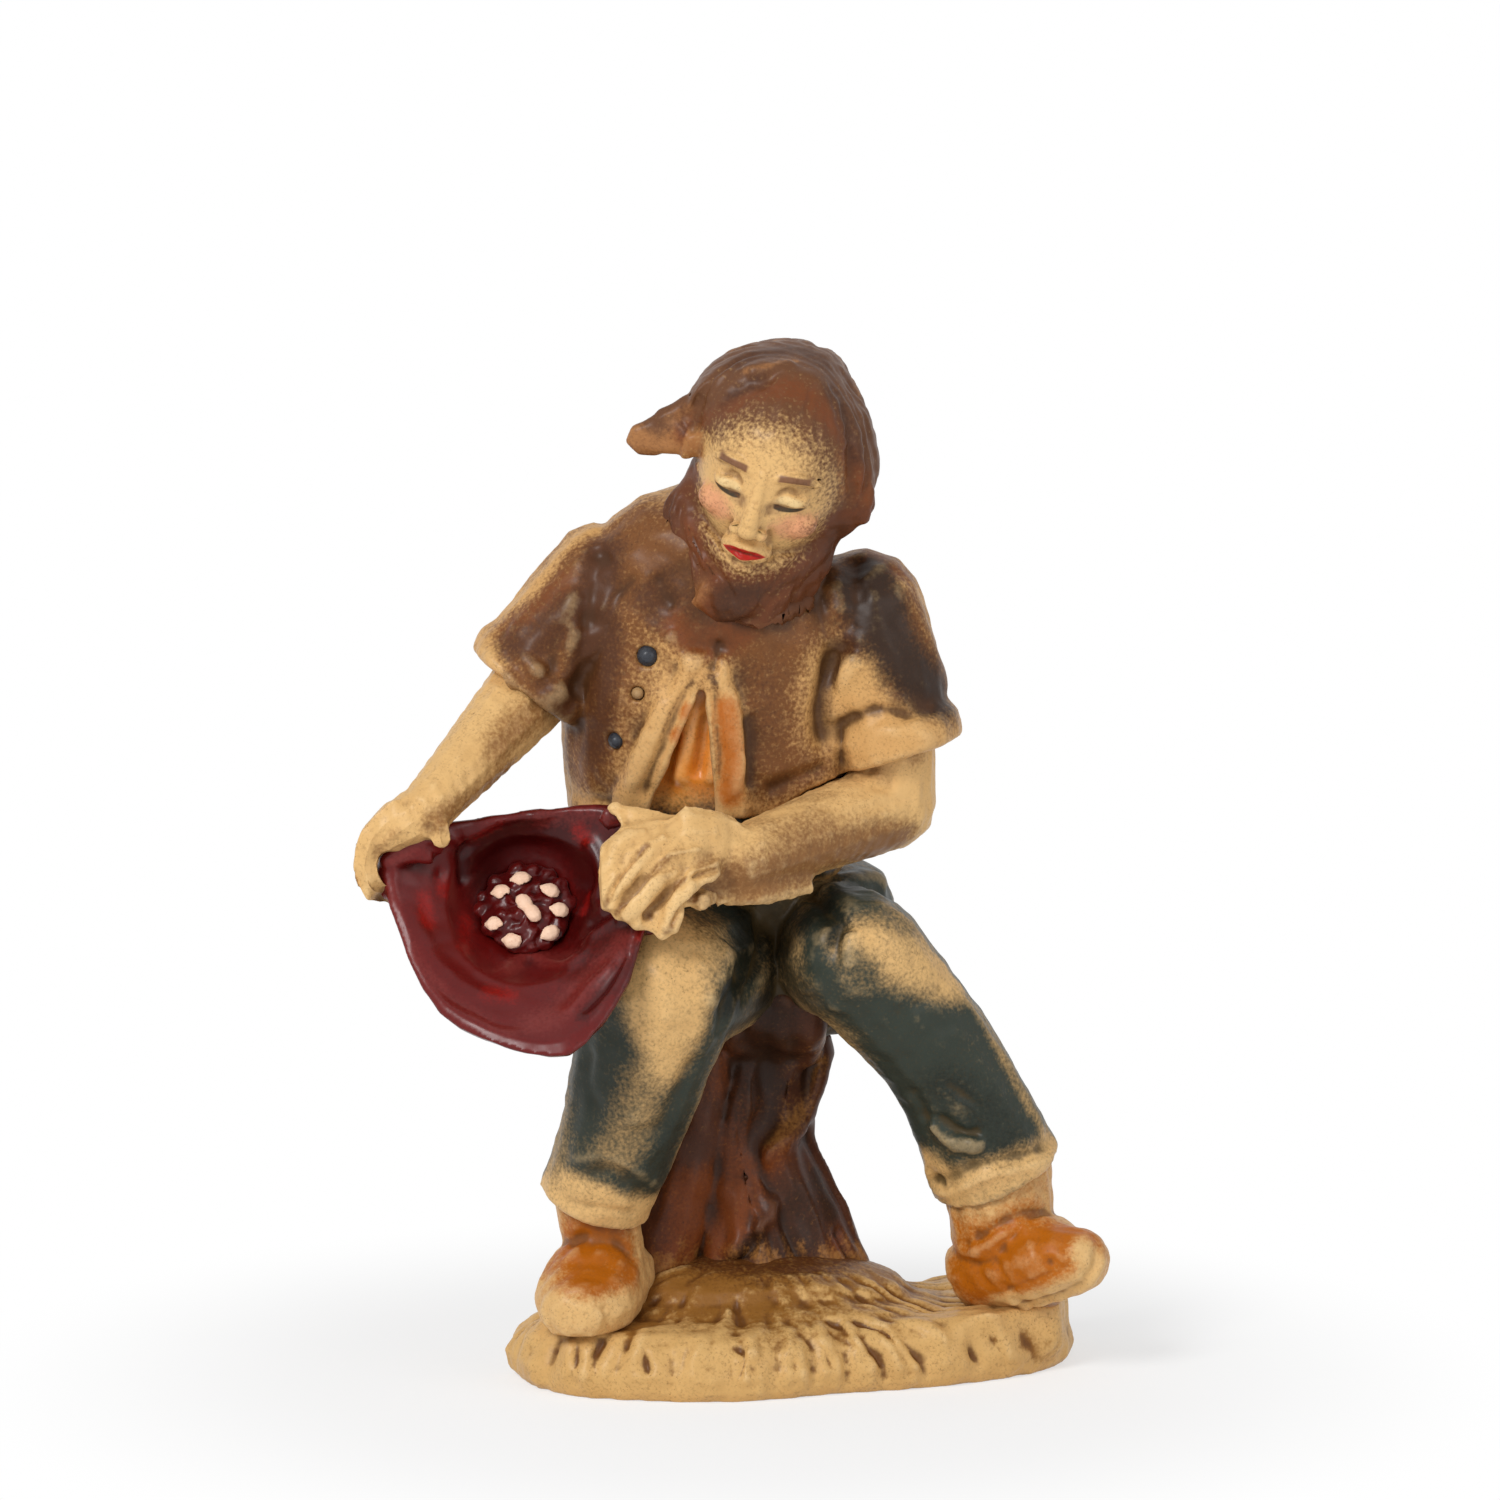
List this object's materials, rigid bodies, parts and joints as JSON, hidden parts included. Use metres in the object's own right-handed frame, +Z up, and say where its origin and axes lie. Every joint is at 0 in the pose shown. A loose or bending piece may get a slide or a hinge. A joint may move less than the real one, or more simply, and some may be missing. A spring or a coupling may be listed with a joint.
{
  "type": "nativity figurine",
  "caption": "Painted shepherd figurine, seated on a tree stump on a turf base, leaning forward and holding out an upturned hat of grain.",
  "frame": {"origin": "centre of the figurine's own box, on the surface it stands on", "axes": "+Z up; the shepherd faces -Y, and the right hand with the hat is towards -X"},
  "size_m": [0.06, 0.036, 0.0848],
  "materials": {
    "turf": "satin paint with a brown wash",
    "bark": "satin paint",
    "trousers": "satin paint over cream resin",
    "skin": "satin cream resin with a brown wash",
    "shoes": "satin paint",
    "shirt": "gloss paint",
    "jacket": "sprayed satin paint",
    "hair": "sprayed satin paint",
    "hat": "gloss paint",
    "buttons": "gloss paint",
    "grain": "satin paint"
  },
  "bodies": {
    "root": {"ground": "turf", "stump": "bark", "trouser_seat": "trousers", "right_trouser_leg": "trousers", "left_trouser_leg": "trousers", "right_ankle": "skin", "left_ankle": "skin", "right_shoe": "shoes", "left_shoe": "shoes", "shirt": "shirt", "jacket": "jacket", "right_sleeve": "jacket", "left_sleeve": "jacket", "right_forearm": "skin", "left_forearm": "skin", "right_hand": "skin", "left_hand": "skin", "head": "skin", "hair": "hair", "beard": "hair", "hat": "hat", "grain_heap": "hat", "button_1": "buttons", "button_2": "jacket", "button_3": "buttons", "grain_1": "grain", "grain_2": "grain", "grain_3": "grain", "grain_4": "grain", "grain_5": "grain", "grain_6": "grain", "grain_7": "grain", "grain_8": "grain"}
  },
  "joints": []
}
